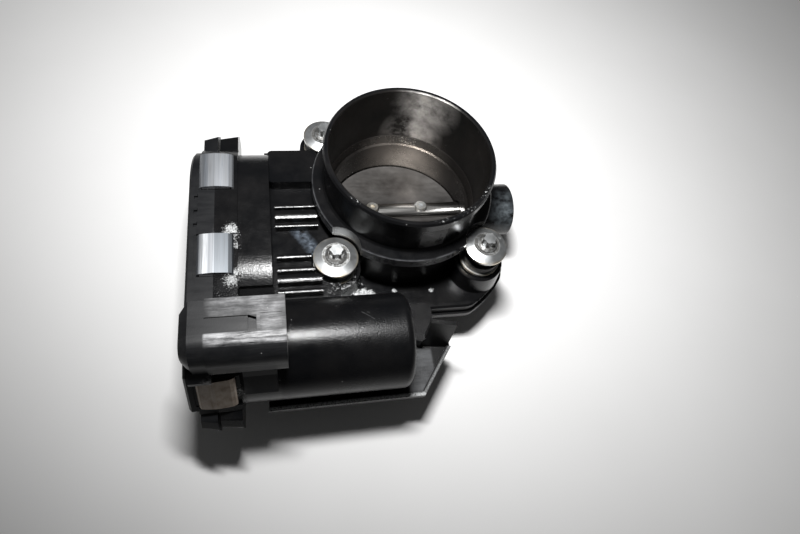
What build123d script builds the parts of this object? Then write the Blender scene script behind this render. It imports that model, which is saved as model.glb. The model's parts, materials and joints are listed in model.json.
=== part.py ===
"""Electronic throttle body, 60 mm bore, as an assembly of separate pieces.

Frame, in millimetres: the origin is on the bore axis, in the flange's mounting face. +Z runs up the bore
towards the inlet, +X runs along the throttle shaft away from the gear cover, -Y points to the motor side.
"""

import os
from math import acos, atan2, cos, degrees, hypot, pi, radians, sin, sqrt, tan

from build123d import *

os.makedirs("parts", exist_ok=True)

# ---- driving dimensions -------------------------------------------------------------------------------
BORE_R = 30.0  # throttle bore
NECK_IN_R = 32.6  # inlet, inside
NECK_OUT_R = 33.9  # inlet wall, outside
NECK_TOP = 52.8
BEAD_R = 35.0  # hose bead
BEAD_LOW = 48.3
COLLAR_R = 38.75
COLLAR_LOW, COLLAR_TOP = 27.6, 33.2
BARREL_R = 36.3
STEP_Z = 21.5  # where the inlet steps in to the bore

FLANGE_X, FLANGE_Y = 94.0, 100.0
FLANGE_CORNER_R = 57.0
FLANGE_H = 8.0
FLANGE_BAND = 2.6  # height of the flange's lower, wider band
BOLT_AT = 31.3  # each mounting screw stands at (+-BOLT_AT, +-BOLT_AT)
BOSS_R, BOSS_TOP = 10.6, 17.5
RELIEF_R = 9.7
LOOSE_LIFT = 3.4  # how far the one slack screw stands up in its grommet

SHAFT_Z = 9.0
SHAFT_R = 4.5
BEARING_R, SEAL_R, PLUG_R = 6.6, 6.3, 8.5
NEAR_BEARING, FAR_BEARING = (-58.5, -46.0), (40.0, 48.0)  # where each begins and ends along X
NEAR_SEAL, FAR_SEAL = (-39.0, -35.0), (34.0, 38.0)
SHAFT_BOSS_R, SHAFT_BOSS_END, PLUG_X = 12.3, 54.0, 49.0
REST_DEG = 7.5  # limp-home opening of the plate, from closed

MOTOR_Y, MOTOR_Z = -65.5, 18.5
MOTOR_TUBE_R = 18.5
MOTOR_TUBE_END = -6.0
MOTOR_CAN_R = 15.9

CASE_R = 29.0  # gear case, round the throttle shaft
CASE_NEAR_R = 19.5  # gear case, round the motor
X_WALL = -58.5  # inner face of the gear case's end wall
X_BACK = -56.0  # outer face of that wall
X_STEP = -68.0  # where the case narrows behind its flange
X_JOINT = -76.3  # joint between case and cover
X_LEDGE = -82.5  # where the cover narrows
X_COVER = -86.0  # cover's outer face
CASE_WALL = 2.0
BACK_R = 27.0  # the case behind its flange, round the throttle shaft
BACK_WALL = 4.0
BACK_STEP, BACK_STEP_Y = 1.8, -45.5

CLIP_CREST = 1.15  # the clips' highest line over their seats
CLIP_T = 0.7
CLIP_LEFT, CLIP_RIGHT = -82.1, -69.4
CLIP_LEG = 1.35  # depth of their legs below their seats
CLIP_GAP = 0.4  # between the legs and the seats' edges
POCKET_DEPTH = 1.5  # of the pockets round the legs
POCKET_LEFT = -83.4
CASE_FLOOR = -20.3  # seats of the lower clips
FLOOR_Z = CASE_FLOOR - CLIP_CREST  # lowest points: screw tips and lower clips

GEAR_MODULE = 1.0
SECTOR_TEETH, SMALL_TEETH, LARGE_TEETH, PINION_TEETH = 51, 17, 50, 16
SECTOR_X, SECTOR_W = -73.6, 4.5
LARGE_X, LARGE_W = -78.5, 4.0

DECK_TOP = 24.0
# ribs across the deck: middle, width and the radius of the rounded top
DECK_RIBS = (
    (-5.7, 1.6, 2.1), (-9.7, 4.0, 4.6), (-15.1, 1.6, 2.1), (-29.6, 1.6, 2.1), (-35.5, 1.8, 2.2),
    (-39.5, 3.4, 4.0), (-45.1, 1.6, 2.1),
)
RIB_X, RIB_LEN, RIB_H = -54.3, 17.0, 1.8
DECK_BLOCK = (-46, 14), (21, 17, 2)  # middle; sides and corner radius
TRAY_H, TRAY_RIM_H = 3.0, 5.2
# outlines of the webs, of the tray with its rim, and of the lip at the tray's end, seen from above
NEAR_WEB = (-57, -66), (-57, -40), (-24, -38), (-21, -52), (-21, -66)
FAR_WEB = (8.2, -44), (8.2, -60.5), (2, -64), (-4, -62), (-4, -44)
TRAY = (-60, -85), (1, -85), (15.4, -65.4), (15.4, -60.5), (6, -56), (-60, -56)
TRAY_RIM = (-60, -85), (1, -85), (15.4, -65.4), (13.4, -65.0), (0, -83.4), (-60, -83.4)
TRAY_LIP_FOOT = (3.0, -64.0), (13.9, -65.2), (14.3, -63.6), (3.2, -62.2)
TRAY_LIP_TOP = (4.0, -60.9), (14.4, -62.9), (14.7, -61.3), (4.3, -59.1)
TRAY_LIP_Z = 1.0, 22.0

SHROUD_Y0, SHROUD_Y1 = -80.0, -59.4
SHROUD_Z0, SHROUD_Z1 = 40.5, 54.0
SHROUD_LEFT, SHROUD_STEP, SHROUD_MOUTH = -84.5, -76.6, -51.7
SHROUD_SLEEVE = 0.45  # how far the sleeve round the mouth stands proud
SHROUD_WALL = 2.2

# ---- gear geometry ------------------------------------------------------------------------------------
sector_r = GEAR_MODULE * SECTOR_TEETH / 2
small_r = GEAR_MODULE * SMALL_TEETH / 2
large_r = GEAR_MODULE * LARGE_TEETH / 2
pinion_r = GEAR_MODULE * PINION_TEETH / 2

# The idler stands where both centre distances are met, below the line from shaft to motor.
centre_dist = hypot(MOTOR_Y, MOTOR_Z - SHAFT_Z)
along = ((sector_r + small_r) ** 2 - (large_r + pinion_r) ** 2 + centre_dist**2) / (2 * centre_dist)
aside = sqrt((sector_r + small_r) ** 2 - along**2)
line_y, line_z = MOTOR_Y / centre_dist, (MOTOR_Z - SHAFT_Z) / centre_dist
IDLER_Y = along * line_y - aside * line_z
IDLER_Z = SHAFT_Z + along * line_z + aside * line_y

to_idler = atan2(IDLER_Z - SHAFT_Z, IDLER_Y)
to_motor = atan2(MOTOR_Z - IDLER_Z, MOTOR_Y - IDLER_Y)


def gear_points(teeth, phase, count=None, start=0, backlash=0.16):
    """Outline of an involute gear about the origin; a tooth is centred on the phase angle (radians)."""
    pitch_r = GEAR_MODULE * teeth / 2
    base_r = pitch_r * cos(radians(20))
    root_r = pitch_r - 1.25 * GEAR_MODULE
    tip_r = pitch_r + 0.9 * GEAR_MODULE
    half_at_pitch = (pi * GEAR_MODULE / 2 - backlash) / (2 * pitch_r)
    inv_pitch = tan(radians(20)) - radians(20)
    flank = []
    low_r = max(base_r, root_r)
    for k in range(4):
        r = low_r + (tip_r - low_r) * k / 3
        a = acos(min(1.0, base_r / r))
        flank.append((r, half_at_pitch + inv_pitch - (tan(a) - a)))
    if base_r > root_r:
        flank.insert(0, (root_r, flank[0][1]))
    points = []
    for tooth in range(start, start + (count or teeth)):
        centre = phase + 2 * pi * tooth / teeth
        points += [(r * cos(centre - h), r * sin(centre - h)) for r, h in flank]
        points += [(r * cos(centre + h), r * sin(centre + h)) for r, h in reversed(flank)]
    return points


def gear_gap_phase(teeth, angle):
    """Phase that puts a gap, not a tooth, at the given angle."""
    return angle + pi / teeth


def shifted(points, y, z):
    return [(a + y, b + z) for a, b in points]


# ---- shared outlines ----------------------------------------------------------------------------------
def case_outline():
    """Gear case outline in the YZ plane: a hull about shaft, idler and motor, with a slanted near facet."""
    with BuildSketch(mode=Mode.PRIVATE) as outline:
        with BuildLine():
            CenterArc((0, SHAFT_Z), CASE_R, 0, 360)
            CenterArc((IDLER_Y, IDLER_Z), IDLER_Z - SHAFT_Z + CASE_R, 0, 360)
            CenterArc((MOTOR_Y, MOTOR_Z), CASE_NEAR_R, 0, 360)
            Line((-79.5, 35.5), (-87.0, 19.5))
        make_hull()
    return outline.sketch


OUTLINE = case_outline()


# Each clip: the middle of its seat on the case's skin (y, z), the angle of the outward normal, its length.
CLIPS = (
    (3.0, 38.3, 90, 16.0),
    (-34.4, 38.3, 90, 16.4),
    (-82.9, 28.9, 180 - degrees(atan2(7.5, 16.0)), 13.4),
    (29.4, 2.0, 0, 16.0),
    (3.0, CASE_FLOOR, -90, 16.0),
    (-34.4, CASE_FLOOR, -90, 16.0),
)
SEAT_SPARE = 1.4  # how much longer than its clip each seat is


def flange_outline():
    """Outline of the joint flanges: the case outline with a flat pad under each clip."""
    with BuildSketch(mode=Mode.PRIVATE) as outline:
        add(OUTLINE)
        for y, z, angle, length in CLIPS:
            with Locations(Location((y - 4 * cos(radians(angle)), z - 4 * sin(radians(angle))), angle)):
                Rectangle(8, length + SEAT_SPARE)
    return outline.sketch


JOINT_OUTLINE = flange_outline()


def outline_in(inset):
    """The case outline, drawn in by an inset."""
    return offset(OUTLINE, amount=-inset, mode=Mode.PRIVATE) if inset else OUTLINE


def back_outline(inset):
    """The case behind its flange: a hull about shaft and idler, beside the motor tube."""
    with BuildSketch(mode=Mode.PRIVATE) as outline:
        with BuildLine():
            CenterArc((0, SHAFT_Z), BACK_R - inset, 0, 360)
            CenterArc((IDLER_Y, IDLER_Z), BACK_R - inset, 0, 360)
        make_hull()
    return outline.sketch


def shroud_outline(inset):
    """Connector shroud in the YZ plane, with its near top edge well rounded."""
    with BuildSketch(mode=Mode.PRIVATE) as outline:
        with Locations(((SHROUD_Y0 + SHROUD_Y1) / 2, (SHROUD_Z0 + SHROUD_Z1) / 2)):
            Rectangle(SHROUD_Y1 - SHROUD_Y0 - 2 * inset, SHROUD_Z1 - SHROUD_Z0 - 2 * inset)
        near_top = outline.vertices().group_by(Axis.Y)[-1].sort_by(Axis.X)[0]
        others = outline.vertices() - [near_top]
        fillet(near_top, 7.6 - inset)
        fillet(others, 3.6 - inset)
    return outline.sketch


def pocket_outlines():
    """Pockets that the clips' legs stand in, in the YZ plane."""
    with BuildSketch(mode=Mode.PRIVATE) as outline:
        for y, z, angle, length in CLIPS:
            with Locations(Location((y, z), angle)):
                Rectangle(2 * POCKET_DEPTH, length + SEAT_SPARE)
    return outline.sketch


def ear_outlines():
    """Alignment ears at the far and the near end of the joint."""
    with BuildSketch(mode=Mode.PRIVATE) as outline:
        with BuildLine():
            FilletPolyline((21, 13), (36, 13), (36, 20.5), (29.5, 28), (21, 28.5), radius=1.4, close=True)
        make_face()
        with BuildLine():
            FilletPolyline((-78, 6.5), (-90.4, 6.5), (-92, 14.5), (-90, 18.5), (-84, 20), (-78, 20),
                           radius=1.4, close=True)
        make_face()
    return outline.sketch


def corners(size):
    return [(sx * size, sy * size) for sx in (-1, 1) for sy in (-1, 1)]


# ---- housing ------------------------------------------------------------------------------------------
with BuildPart() as housing:
    # mounting flange, in two bands
    for band_inset, band_h in ((0, FLANGE_BAND), (1.2, FLANGE_H)):
        with BuildSketch(Plane.XY) as band:
            Rectangle(FLANGE_X - 2 * band_inset, FLANGE_Y - 2 * band_inset)
            Circle(FLANGE_CORNER_R - band_inset, mode=Mode.INTERSECT)
            fillet(band.vertices(), 8)
        extrude(amount=band_h)
    chamfer(housing.faces().sort_by(Axis.Z)[-1].edges(), 0.8)

    # barrel, collar, inlet neck and bead
    with BuildSketch(Plane.XZ) as barrel_profile:
        with BuildLine():
            Polyline(
                (BORE_R - 4, 0),
                (BARREL_R + 2, 0),
                (BARREL_R, FLANGE_H + 3),
                (BARREL_R, COLLAR_LOW - 1.5),
                (COLLAR_R - 0.4, COLLAR_LOW),
                (COLLAR_R, COLLAR_LOW + 0.5),
                (COLLAR_R, COLLAR_TOP - 0.5),
                (COLLAR_R - 0.5, COLLAR_TOP),
                (NECK_OUT_R + 0.8, COLLAR_TOP),
                (NECK_OUT_R, COLLAR_TOP + 0.8),
                (NECK_OUT_R, BEAD_LOW - 1),
                (BEAD_R, BEAD_LOW),
                (BEAD_R, NECK_TOP - 1.0),
                (BEAD_R - 0.6, NECK_TOP),
                (BORE_R - 4, NECK_TOP),
                close=True,
            )
        make_face()
    revolve(axis=Axis.Z)

    # screw bosses
    with BuildSketch(Plane.XY.offset(FLANGE_H - 1)):
        with Locations(*corners(BOLT_AT)):
            Circle(BOSS_R + 1.2)
    extrude(amount=BOSS_TOP - FLANGE_H + 1, taper=6)

    # gear case
    with BuildSketch(Plane.YZ.offset(X_STEP)):
        add(JOINT_OUTLINE)
    extrude(amount=X_JOINT - X_STEP)
    # behind its flange the case is narrower, and steps down beside the motor tube
    with BuildSketch(Plane.YZ.offset(X_STEP)):
        add(back_outline(0))
        with Locations((BACK_STEP_Y, 0)):
            Rectangle(60, 100, align=(Align.MAX, Align.CENTER), mode=Mode.SUBTRACT)
        add(back_outline(BACK_STEP))
    extrude(amount=X_BACK - X_STEP)

    # motor tube
    with BuildSketch(Plane.YZ.offset(X_STEP)):
        with Locations((MOTOR_Y, MOTOR_Z)):
            Circle(MOTOR_TUBE_R)
    extrude(amount=MOTOR_TUBE_END - X_STEP)
    fillet(housing.faces().filter_by(Plane.YZ).filter_by(lambda f: abs(f.center().Y - MOTOR_Y) < 1).sort_by(
        Axis.X)[-1].edges(), 3.2)

    # deck between the gear case and the barrel, with its ribs and the raised block over the shaft tube
    with BuildSketch(Plane.XY):
        with Locations((-44, -11.6)):
            Rectangle(28, 73.8)
    extrude(amount=DECK_TOP - 2)
    for rib_y, rib_w, crown_r in DECK_RIBS:
        with BuildSketch(Plane.YZ.offset(RIB_X)):
            with Locations((rib_y, DECK_TOP)):
                Rectangle(rib_w, 2 * RIB_H + 1.0)
            with Locations((rib_y, DECK_TOP + RIB_H - crown_r)):
                Circle(crown_r, mode=Mode.INTERSECT)
        extrude(amount=RIB_LEN)
    with BuildSketch(Plane.XY.offset(FLANGE_H)):
        with Locations(DECK_BLOCK[0]):
            RectangleRounded(*DECK_BLOCK[1])
    extrude(amount=DECK_TOP - FLANGE_H + 3)

    # webs between the motor tube and the barrel
    with BuildSketch(Plane.XY):
        for web in (NEAR_WEB, FAR_WEB):
            with BuildLine():
                Polyline(*web, close=True)
            make_face()
    extrude(amount=FLANGE_H + 2)

    # tray under the motor: floor, with its sides drawn in underneath, rim, and the lip at its end
    with BuildSketch(Plane.XY.offset(TRAY_H)):
        with BuildLine():
            Polyline(*TRAY, close=True)
        make_face()
    extrude(amount=-TRAY_H, taper=25)
    with BuildSketch(Plane.XY.offset(TRAY_H - 0.5)):
        with BuildLine():
            Polyline(*TRAY_RIM, close=True)
        make_face()
    extrude(amount=TRAY_RIM_H - TRAY_H + 0.5)
    for lip_outline, lip_z in zip((TRAY_LIP_FOOT, TRAY_LIP_TOP), TRAY_LIP_Z):
        with BuildSketch(Plane.XY.offset(lip_z)):
            with BuildLine():
                Polyline(*lip_outline, close=True)
            make_face()
    loft()

    # shaft boss on the far side from the gears
    with BuildSketch(Plane.YZ.offset(SHAFT_BOSS_END)):
        with Locations((0, SHAFT_Z)):
            Circle(SHAFT_BOSS_R)
    extrude(amount=-24)
    fillet(housing.faces().sort_by(Axis.X)[-1].edges(), 0.9)

    # alignment ears at both ends of the case flange
    with BuildSketch(Plane.YZ.offset(X_STEP - 0.4)):
        add(ear_outlines())
    extrude(amount=X_JOINT - X_STEP + 0.8, taper=8)

    # the boss is flat underneath, so that it stays above the mounting face
    with BuildSketch(Plane.XY):
        with Locations((44, 0)):
            Rectangle(24, 30)
    extrude(amount=-6, mode=Mode.SUBTRACT)

    # bore and inlet
    with BuildSketch(Plane.XZ) as bore_profile:
        with BuildLine():
            Polyline(
                (0, -1), (BORE_R, -1), (BORE_R, STEP_Z), (31.3, STEP_Z), (NECK_IN_R, STEP_Z + 4),
                (NECK_IN_R, NECK_TOP - 0.5), (NECK_IN_R + 0.5, NECK_TOP), (NECK_IN_R + 0.5, NECK_TOP + 1),
                (0, NECK_TOP + 1), close=True,
            )
        make_face()
    revolve(axis=Axis.Z, mode=Mode.SUBTRACT)

    # seal groove in the mounting face
    with BuildSketch(Plane.XY):
        Circle(35.4)
        Circle(32.6, mode=Mode.SUBTRACT)
    extrude(amount=2.2, mode=Mode.SUBTRACT)

    # grommet holes
    with BuildSketch(Plane.XY.offset(-1)):
        with Locations(*corners(BOLT_AT)):
            Circle(6.4)
    extrude(amount=BOSS_TOP + 2, mode=Mode.SUBTRACT)

    # relief round each screw, so that its washer clears the barrel and the collar
    with BuildSketch(Plane.XY.offset(BOSS_TOP)):
        with Locations(*corners(BOLT_AT)):
            Circle(RELIEF_R)
    extrude(amount=COLLAR_TOP - BOSS_TOP + 0.5, mode=Mode.SUBTRACT)

    # gear cavity
    with BuildSketch(Plane.YZ.offset(X_JOINT - 1)):
        add(outline_in(CASE_WALL))
    extrude(amount=X_STEP - X_JOINT + 0.2, mode=Mode.SUBTRACT)
    with BuildSketch(Plane.YZ.offset(X_STEP - 1)):
        add(back_outline(BACK_WALL))
    extrude(amount=X_WALL - X_STEP + 1, mode=Mode.SUBTRACT)

    # motor cavity
    with BuildSketch(Plane.YZ.offset(X_STEP - 1)):
        with Locations((MOTOR_Y, MOTOR_Z)):
            Circle(MOTOR_CAN_R + 0.2)
    extrude(amount=MOTOR_TUBE_END - 2.2 - X_STEP + 1, mode=Mode.SUBTRACT)

    # shaft bores: clearance, bearings, seals and the plugged end
    shaft_clearance = (X_WALL - 1, PLUG_X), SHAFT_R + 0.6
    bearing_bores = (NEAR_BEARING, BEARING_R), ((FAR_BEARING[0], PLUG_X), BEARING_R)
    seal_bores = (NEAR_SEAL, SEAL_R), (FAR_SEAL, SEAL_R)
    plug_bore = (PLUG_X, SHAFT_BOSS_END + 1), PLUG_R
    for (x0, x1), bore_r in (shaft_clearance, *bearing_bores, *seal_bores, plug_bore):
        with BuildSketch(Plane.YZ.offset(x0)):
            with Locations((0, SHAFT_Z)):
                Circle(bore_r)
        extrude(amount=x1 - x0, mode=Mode.SUBTRACT)

    # pockets round the clips' inner legs
    with BuildSketch(Plane.YZ.offset(X_STEP + 1)):
        add(pocket_outlines())
    extrude(amount=CLIP_RIGHT - CLIP_T - CLIP_GAP - X_STEP - 1, mode=Mode.SUBTRACT)

    # boss that holds the idler pin
    with BuildSketch(Plane.YZ.offset(X_WALL - 6)):
        with Locations((IDLER_Y, IDLER_Z)):
            Circle(5.5)
    extrude(amount=6)
    with BuildSketch(Plane.YZ.offset(X_WALL - 6)):
        with Locations((IDLER_Y, IDLER_Z)):
            Circle(3.0)
    extrude(amount=7.3, mode=Mode.SUBTRACT)

    housing.part.label = "housing"
export_step(housing.part, "parts/housing.step")


def ring(x_or_z, length, outer, inner, centre, plane):
    """A plain tube: on the YZ plane it runs along X, on the XY plane along Z."""
    with BuildSketch(plane.offset(x_or_z)) as profile:
        with Locations(*centre):
            Circle(outer)
            if inner:
                Circle(inner, mode=Mode.SUBTRACT)
    extrude(profile.sketch, amount=length)


SHAFT_AXIS = [(0, SHAFT_Z)]
MOTOR_AXIS = [(MOTOR_Y, MOTOR_Z)]
IDLER_AXIS = [(IDLER_Y, IDLER_Z)]
SCREW_POINTS = corners(BOLT_AT)

# ---- gear cover with its connector shroud -------------------------------------------------------------
LEDGE_INSET = 1.0
WINDOW_Y0, WINDOW_Y1 = -71.2, -65.9
WINDOW_X0, WINDOW_X1 = -63.4, -60.8
WINDOW_DEPTH = 1.5
SOCKET_BACK = -74.0
FOOT_X, FOOT_LEN = -66.5, 11.0
PANEL = (-56.3, 6.8, 6.2)  # middle along X, and its sides
DOME_X = X_COVER + 2.2  # inner face of the cover
shroud_y = (SHROUD_Y0 + SHROUD_Y1) / 2
shroud_z = (SHROUD_Z0 + SHROUD_Z1) / 2

with BuildPart() as gear_cover:
    with BuildSketch(Plane.YZ.offset(X_JOINT)):
        add(JOINT_OUTLINE)
    extrude(amount=X_LEDGE - X_JOINT)
    with BuildSketch(Plane.YZ.offset(X_LEDGE)):
        add(outline_in(LEDGE_INSET))
    extrude(amount=X_COVER - X_LEDGE)
    chamfer(gear_cover.faces().sort_by(Axis.X)[0].edges(), 0.9)
    with BuildSketch(Plane.YZ.offset(X_JOINT - 0.4)):
        add(ear_outlines())
    extrude(amount=X_LEDGE - X_JOINT + 0.4, taper=14)
    # pockets round the clips' outer legs, and small notches in the ledge between the clips
    with BuildSketch(Plane.YZ.offset(POCKET_LEFT)):
        add(pocket_outlines())
    extrude(amount=CLIP_LEFT + CLIP_T + CLIP_GAP - POCKET_LEFT, mode=Mode.SUBTRACT)
    with BuildSketch(Plane.XY.offset(SHAFT_Z + CASE_R)):
        with Locations(*[(X_LEDGE - 0.6, notch_y) for notch_y in (-8.5, -15.0, -21.0)]):
            Rectangle(1.6, 1.5)
    extrude(amount=-2.0, mode=Mode.SUBTRACT)
    # the inside: a wide mouth, then the narrower dome
    with BuildSketch(Plane.YZ.offset(X_JOINT)):
        add(outline_in(CASE_WALL))
    extrude(amount=X_LEDGE - X_JOINT + 0.8, mode=Mode.SUBTRACT)
    with BuildSketch(Plane.YZ.offset(X_JOINT)):
        add(outline_in(2 * CASE_WALL))
    extrude(amount=DOME_X - X_JOINT, mode=Mode.SUBTRACT)
    # connector shroud, lying along X over the motor, with a thicker sleeve round its mouth
    with BuildSketch(Plane.YZ.offset(SHROUD_LEFT)):
        add(shroud_outline(SHROUD_SLEEVE))
    extrude(amount=SHROUD_MOUTH - SHROUD_LEFT)
    upright_faces = gear_cover.faces().filter_by(Plane.YZ)
    at_left = upright_faces.filter_by(lambda f: abs(f.center().X - SHROUD_LEFT) < 0.01)
    chamfer(at_left.sort_by(Axis.Z)[-1].edges(), 3.0)
    with BuildSketch(Plane.YZ.offset(SHROUD_STEP)):
        add(shroud_outline(0))
    extrude(amount=SHROUD_MOUTH - SHROUD_STEP)
    # neck between the shroud and the cover, and the foot that leans over the motor tube
    with BuildSketch(Plane.YZ.offset(SHROUD_LEFT + 1)):
        with BuildLine():
            Polyline((-82, 36.4), (-82, 38.4), (-79.4, SHROUD_Z0 + 1), (-62, SHROUD_Z0 + 1), (-62, 36.4),
                     close=True)
        make_face()
    extrude(amount=X_JOINT - SHROUD_LEFT - 1)
    with BuildSketch(Plane.YZ.offset(FOOT_X)):
        with BuildLine():
            Polyline((-79, SHROUD_Z0 + 1), (-80.6, 37), (-84.4, 29.5), (-83.4, 28.9), (-82.4, 29.8),
                     (-75, 36.6), (-73, SHROUD_Z0 + 1), close=True)
        make_face()
    extrude(amount=FOOT_LEN)
    # socket
    with BuildSketch(Plane.YZ.offset(SOCKET_BACK)):
        add(shroud_outline(SHROUD_WALL))
    extrude(amount=SHROUD_MOUTH - SOCKET_BACK + 1, mode=Mode.SUBTRACT)
    # latch groove, latch pocket with one slanted corner, and the shallow panel beside it
    with BuildSketch(Plane.XY.offset(SHROUD_Z1 - SHROUD_SLEEVE)):
        with Locations(((SHROUD_STEP + WINDOW_X0) / 2, (WINDOW_Y0 + WINDOW_Y1) / 2)):
            Rectangle(WINDOW_X0 - SHROUD_STEP + 1, WINDOW_Y1 - WINDOW_Y0)
    extrude(amount=1, mode=Mode.SUBTRACT)
    with BuildSketch(Plane.XY.offset(SHROUD_Z1 - WINDOW_DEPTH)):
        with BuildLine():
            Polyline((WINDOW_X0, WINDOW_Y0), (WINDOW_X1, WINDOW_Y0), (WINDOW_X1, WINDOW_Y1 - 0.9),
                     (WINDOW_X0 + 0.4, WINDOW_Y1), (WINDOW_X0, WINDOW_Y1), close=True)
        make_face()
    extrude(amount=WINDOW_DEPTH + 1, mode=Mode.SUBTRACT)
    with BuildSketch(Plane.XY.offset(SHROUD_Z1 - 0.25)):
        with Locations((PANEL[0], (WINDOW_Y0 + WINDOW_Y1) / 2)):
            Rectangle(*PANEL[1:])
    extrude(amount=1, mode=Mode.SUBTRACT)
    # boss that steadies the idler pin
    ring(X_LEDGE + 2.3, DOME_X - X_LEDGE - 2.6, 5.2, 3.0, IDLER_AXIS, Plane.YZ)
    gear_cover.part.label = "gear_cover"
export_step(gear_cover.part, "parts/gear_cover.step")

# ---- seal between case and cover ----------------------------------------------------------------------
with BuildPart() as cover_seal:
    with BuildSketch(Plane.YZ.offset(X_JOINT + 0.2)):
        add(outline_in(CASE_WALL + 0.02))
        add(outline_in(CASE_WALL + 0.5), mode=Mode.SUBTRACT)
    extrude(amount=-3.2)
    cover_seal.part.label = "cover_seal"
export_step(cover_seal.part, "parts/cover_seal.step")

# ---- spring clips round the joint ---------------------------------------------------------------------
with BuildPart() as cover_clips:
    for y, z, angle, length in CLIPS:
        out_y, out_z = cos(radians(angle)), sin(radians(angle))
        with BuildSketch(Plane(origin=(0, y, z), x_dir=(1, 0, 0), z_dir=(0, -out_z, out_y))):
            with BuildLine():
                # outside, with its shoulders and the crest over the joint, then back along the inside
                Polyline(
                    (CLIP_LEFT, -CLIP_LEG), (CLIP_LEFT, -0.4), (CLIP_LEFT + 0.8, 0.5), (CLIP_LEFT + 2.1, 0.8),
                    (X_JOINT, CLIP_CREST), (CLIP_RIGHT - 3.4, 0.85), (CLIP_RIGHT - 1.7, 0.62),
                    (CLIP_RIGHT - 0.5, 0.1), (CLIP_RIGHT, -0.4), (CLIP_RIGHT, -CLIP_LEG),
                    (CLIP_RIGHT - CLIP_T, -CLIP_LEG), (CLIP_RIGHT - CLIP_T, -0.25),
                    (CLIP_RIGHT - CLIP_T - 0.3, 0.02), (CLIP_LEFT + CLIP_T + 0.3, 0.02),
                    (CLIP_LEFT + CLIP_T, -0.25), (CLIP_LEFT + CLIP_T, -CLIP_LEG), close=True,
                )
            make_face()
        extrude(amount=length / 2, both=True)
    cover_clips.part.label = "cover_clips"
export_step(cover_clips.part, "parts/cover_clips.step")

# ---- throttle shaft, plate and screws -----------------------------------------------------------------
PLATE_R, PLATE_T = 29.6, 2.0
PLATE_SCREW_X = 11.3
SHAFT_ENDS = -74.0, 46.5
rest = radians(REST_DEG)
# The plate's plane at rest: its +Y edge is turned down by the limp-home angle.
PLATE_PLANE = Plane(origin=(0, 0, SHAFT_Z), x_dir=(1, 0, 0), z_dir=(0, sin(rest), cos(rest)))

with BuildPart() as throttle_shaft:
    ring(SHAFT_ENDS[0], SHAFT_ENDS[1] - SHAFT_ENDS[0], SHAFT_R, 0, SHAFT_AXIS, Plane.YZ)
    chamfer(throttle_shaft.faces().sort_by(Axis.X)[-1].edges(), 0.6)
    # slot for the plate
    with BuildSketch(PLATE_PLANE.offset(-PLATE_T / 2)):
        Rectangle(2 * PLATE_R + 1, 4 * SHAFT_R)
    extrude(amount=PLATE_T, mode=Mode.SUBTRACT)
    # screw holes and the flat seats for their heads
    with BuildSketch(PLATE_PLANE.offset(-8)):
        with Locations((-PLATE_SCREW_X, 0), (PLATE_SCREW_X, 0)):
            Circle(1.5)
    extrude(amount=16, mode=Mode.SUBTRACT)
    with BuildSketch(PLATE_PLANE.offset(3.6)):
        with Locations((-PLATE_SCREW_X, 0), (PLATE_SCREW_X, 0)):
            Circle(3.3)
    extrude(amount=4, mode=Mode.SUBTRACT)
    # flats that drive the sector gear
    with BuildSketch(Plane.YZ.offset(-75)):
        with Locations((0, SHAFT_Z + SHAFT_R), (0, SHAFT_Z - SHAFT_R)):
            Rectangle(2 * SHAFT_R, 2)
    extrude(amount=10, mode=Mode.SUBTRACT)
    throttle_shaft.part.label = "throttle_shaft"
export_step(throttle_shaft.part, "parts/throttle_shaft.step")

with BuildPart() as throttle_plate:
    with BuildSketch(PLATE_PLANE.offset(-PLATE_T / 2)):
        Circle(PLATE_R)
        with Locations((-PLATE_SCREW_X, 0), (PLATE_SCREW_X, 0)):
            Circle(1.5, mode=Mode.SUBTRACT)
    extrude(amount=PLATE_T)
    throttle_plate.part.label = "throttle_plate"
export_step(throttle_plate.part, "parts/throttle_plate.step")

with BuildPart() as plate_screws:
    for screw_x in (-PLATE_SCREW_X, PLATE_SCREW_X):
        with BuildSketch(PLATE_PLANE.offset(-4.2)):
            with Locations((screw_x, 0)):
                Circle(1.5)
        extrude(amount=7.8)
        with BuildSketch(PLATE_PLANE.offset(3.6)):
            with Locations((screw_x, 0)):
                Circle(2.5)
                RegularPolygon(1.2, 6, mode=Mode.SUBTRACT)
        extrude(amount=1.4)
        with BuildSketch(PLATE_PLANE.offset(3.6)):
            with Locations((screw_x, 0)):
                Circle(1.6)
        extrude(amount=0.4)
    plate_screws.part.label = "plate_screws"
export_step(plate_screws.part, "parts/plate_screws.step")

# ---- bearings, seals and the plug of the throttle shaft -----------------------------------------------
with BuildPart() as shaft_bearings:
    for x0, x1 in (NEAR_BEARING, FAR_BEARING):
        ring(x0, x1 - x0, BEARING_R, SHAFT_R + 0.05, SHAFT_AXIS, Plane.YZ)
    shaft_bearings.part.label = "shaft_bearings"
export_step(shaft_bearings.part, "parts/shaft_bearings.step")

with BuildPart() as shaft_seals:
    for x0, x1 in (NEAR_SEAL, FAR_SEAL):
        ring(x0, x1 - x0, SEAL_R, SHAFT_R + 0.05, SHAFT_AXIS, Plane.YZ)
    shaft_seals.part.label = "shaft_seals"
export_step(shaft_seals.part, "parts/shaft_seals.step")

with BuildPart() as shaft_end_plug:
    ring(PLUG_X, 4.2, PLUG_R, PLUG_R - 1.1, SHAFT_AXIS, Plane.YZ)
    ring(PLUG_X + 3.2, 1.0, PLUG_R - 0.5, 0, SHAFT_AXIS, Plane.YZ)
    shaft_end_plug.part.label = "shaft_end_plug"
export_step(shaft_end_plug.part, "parts/shaft_end_plug.step")

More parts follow.
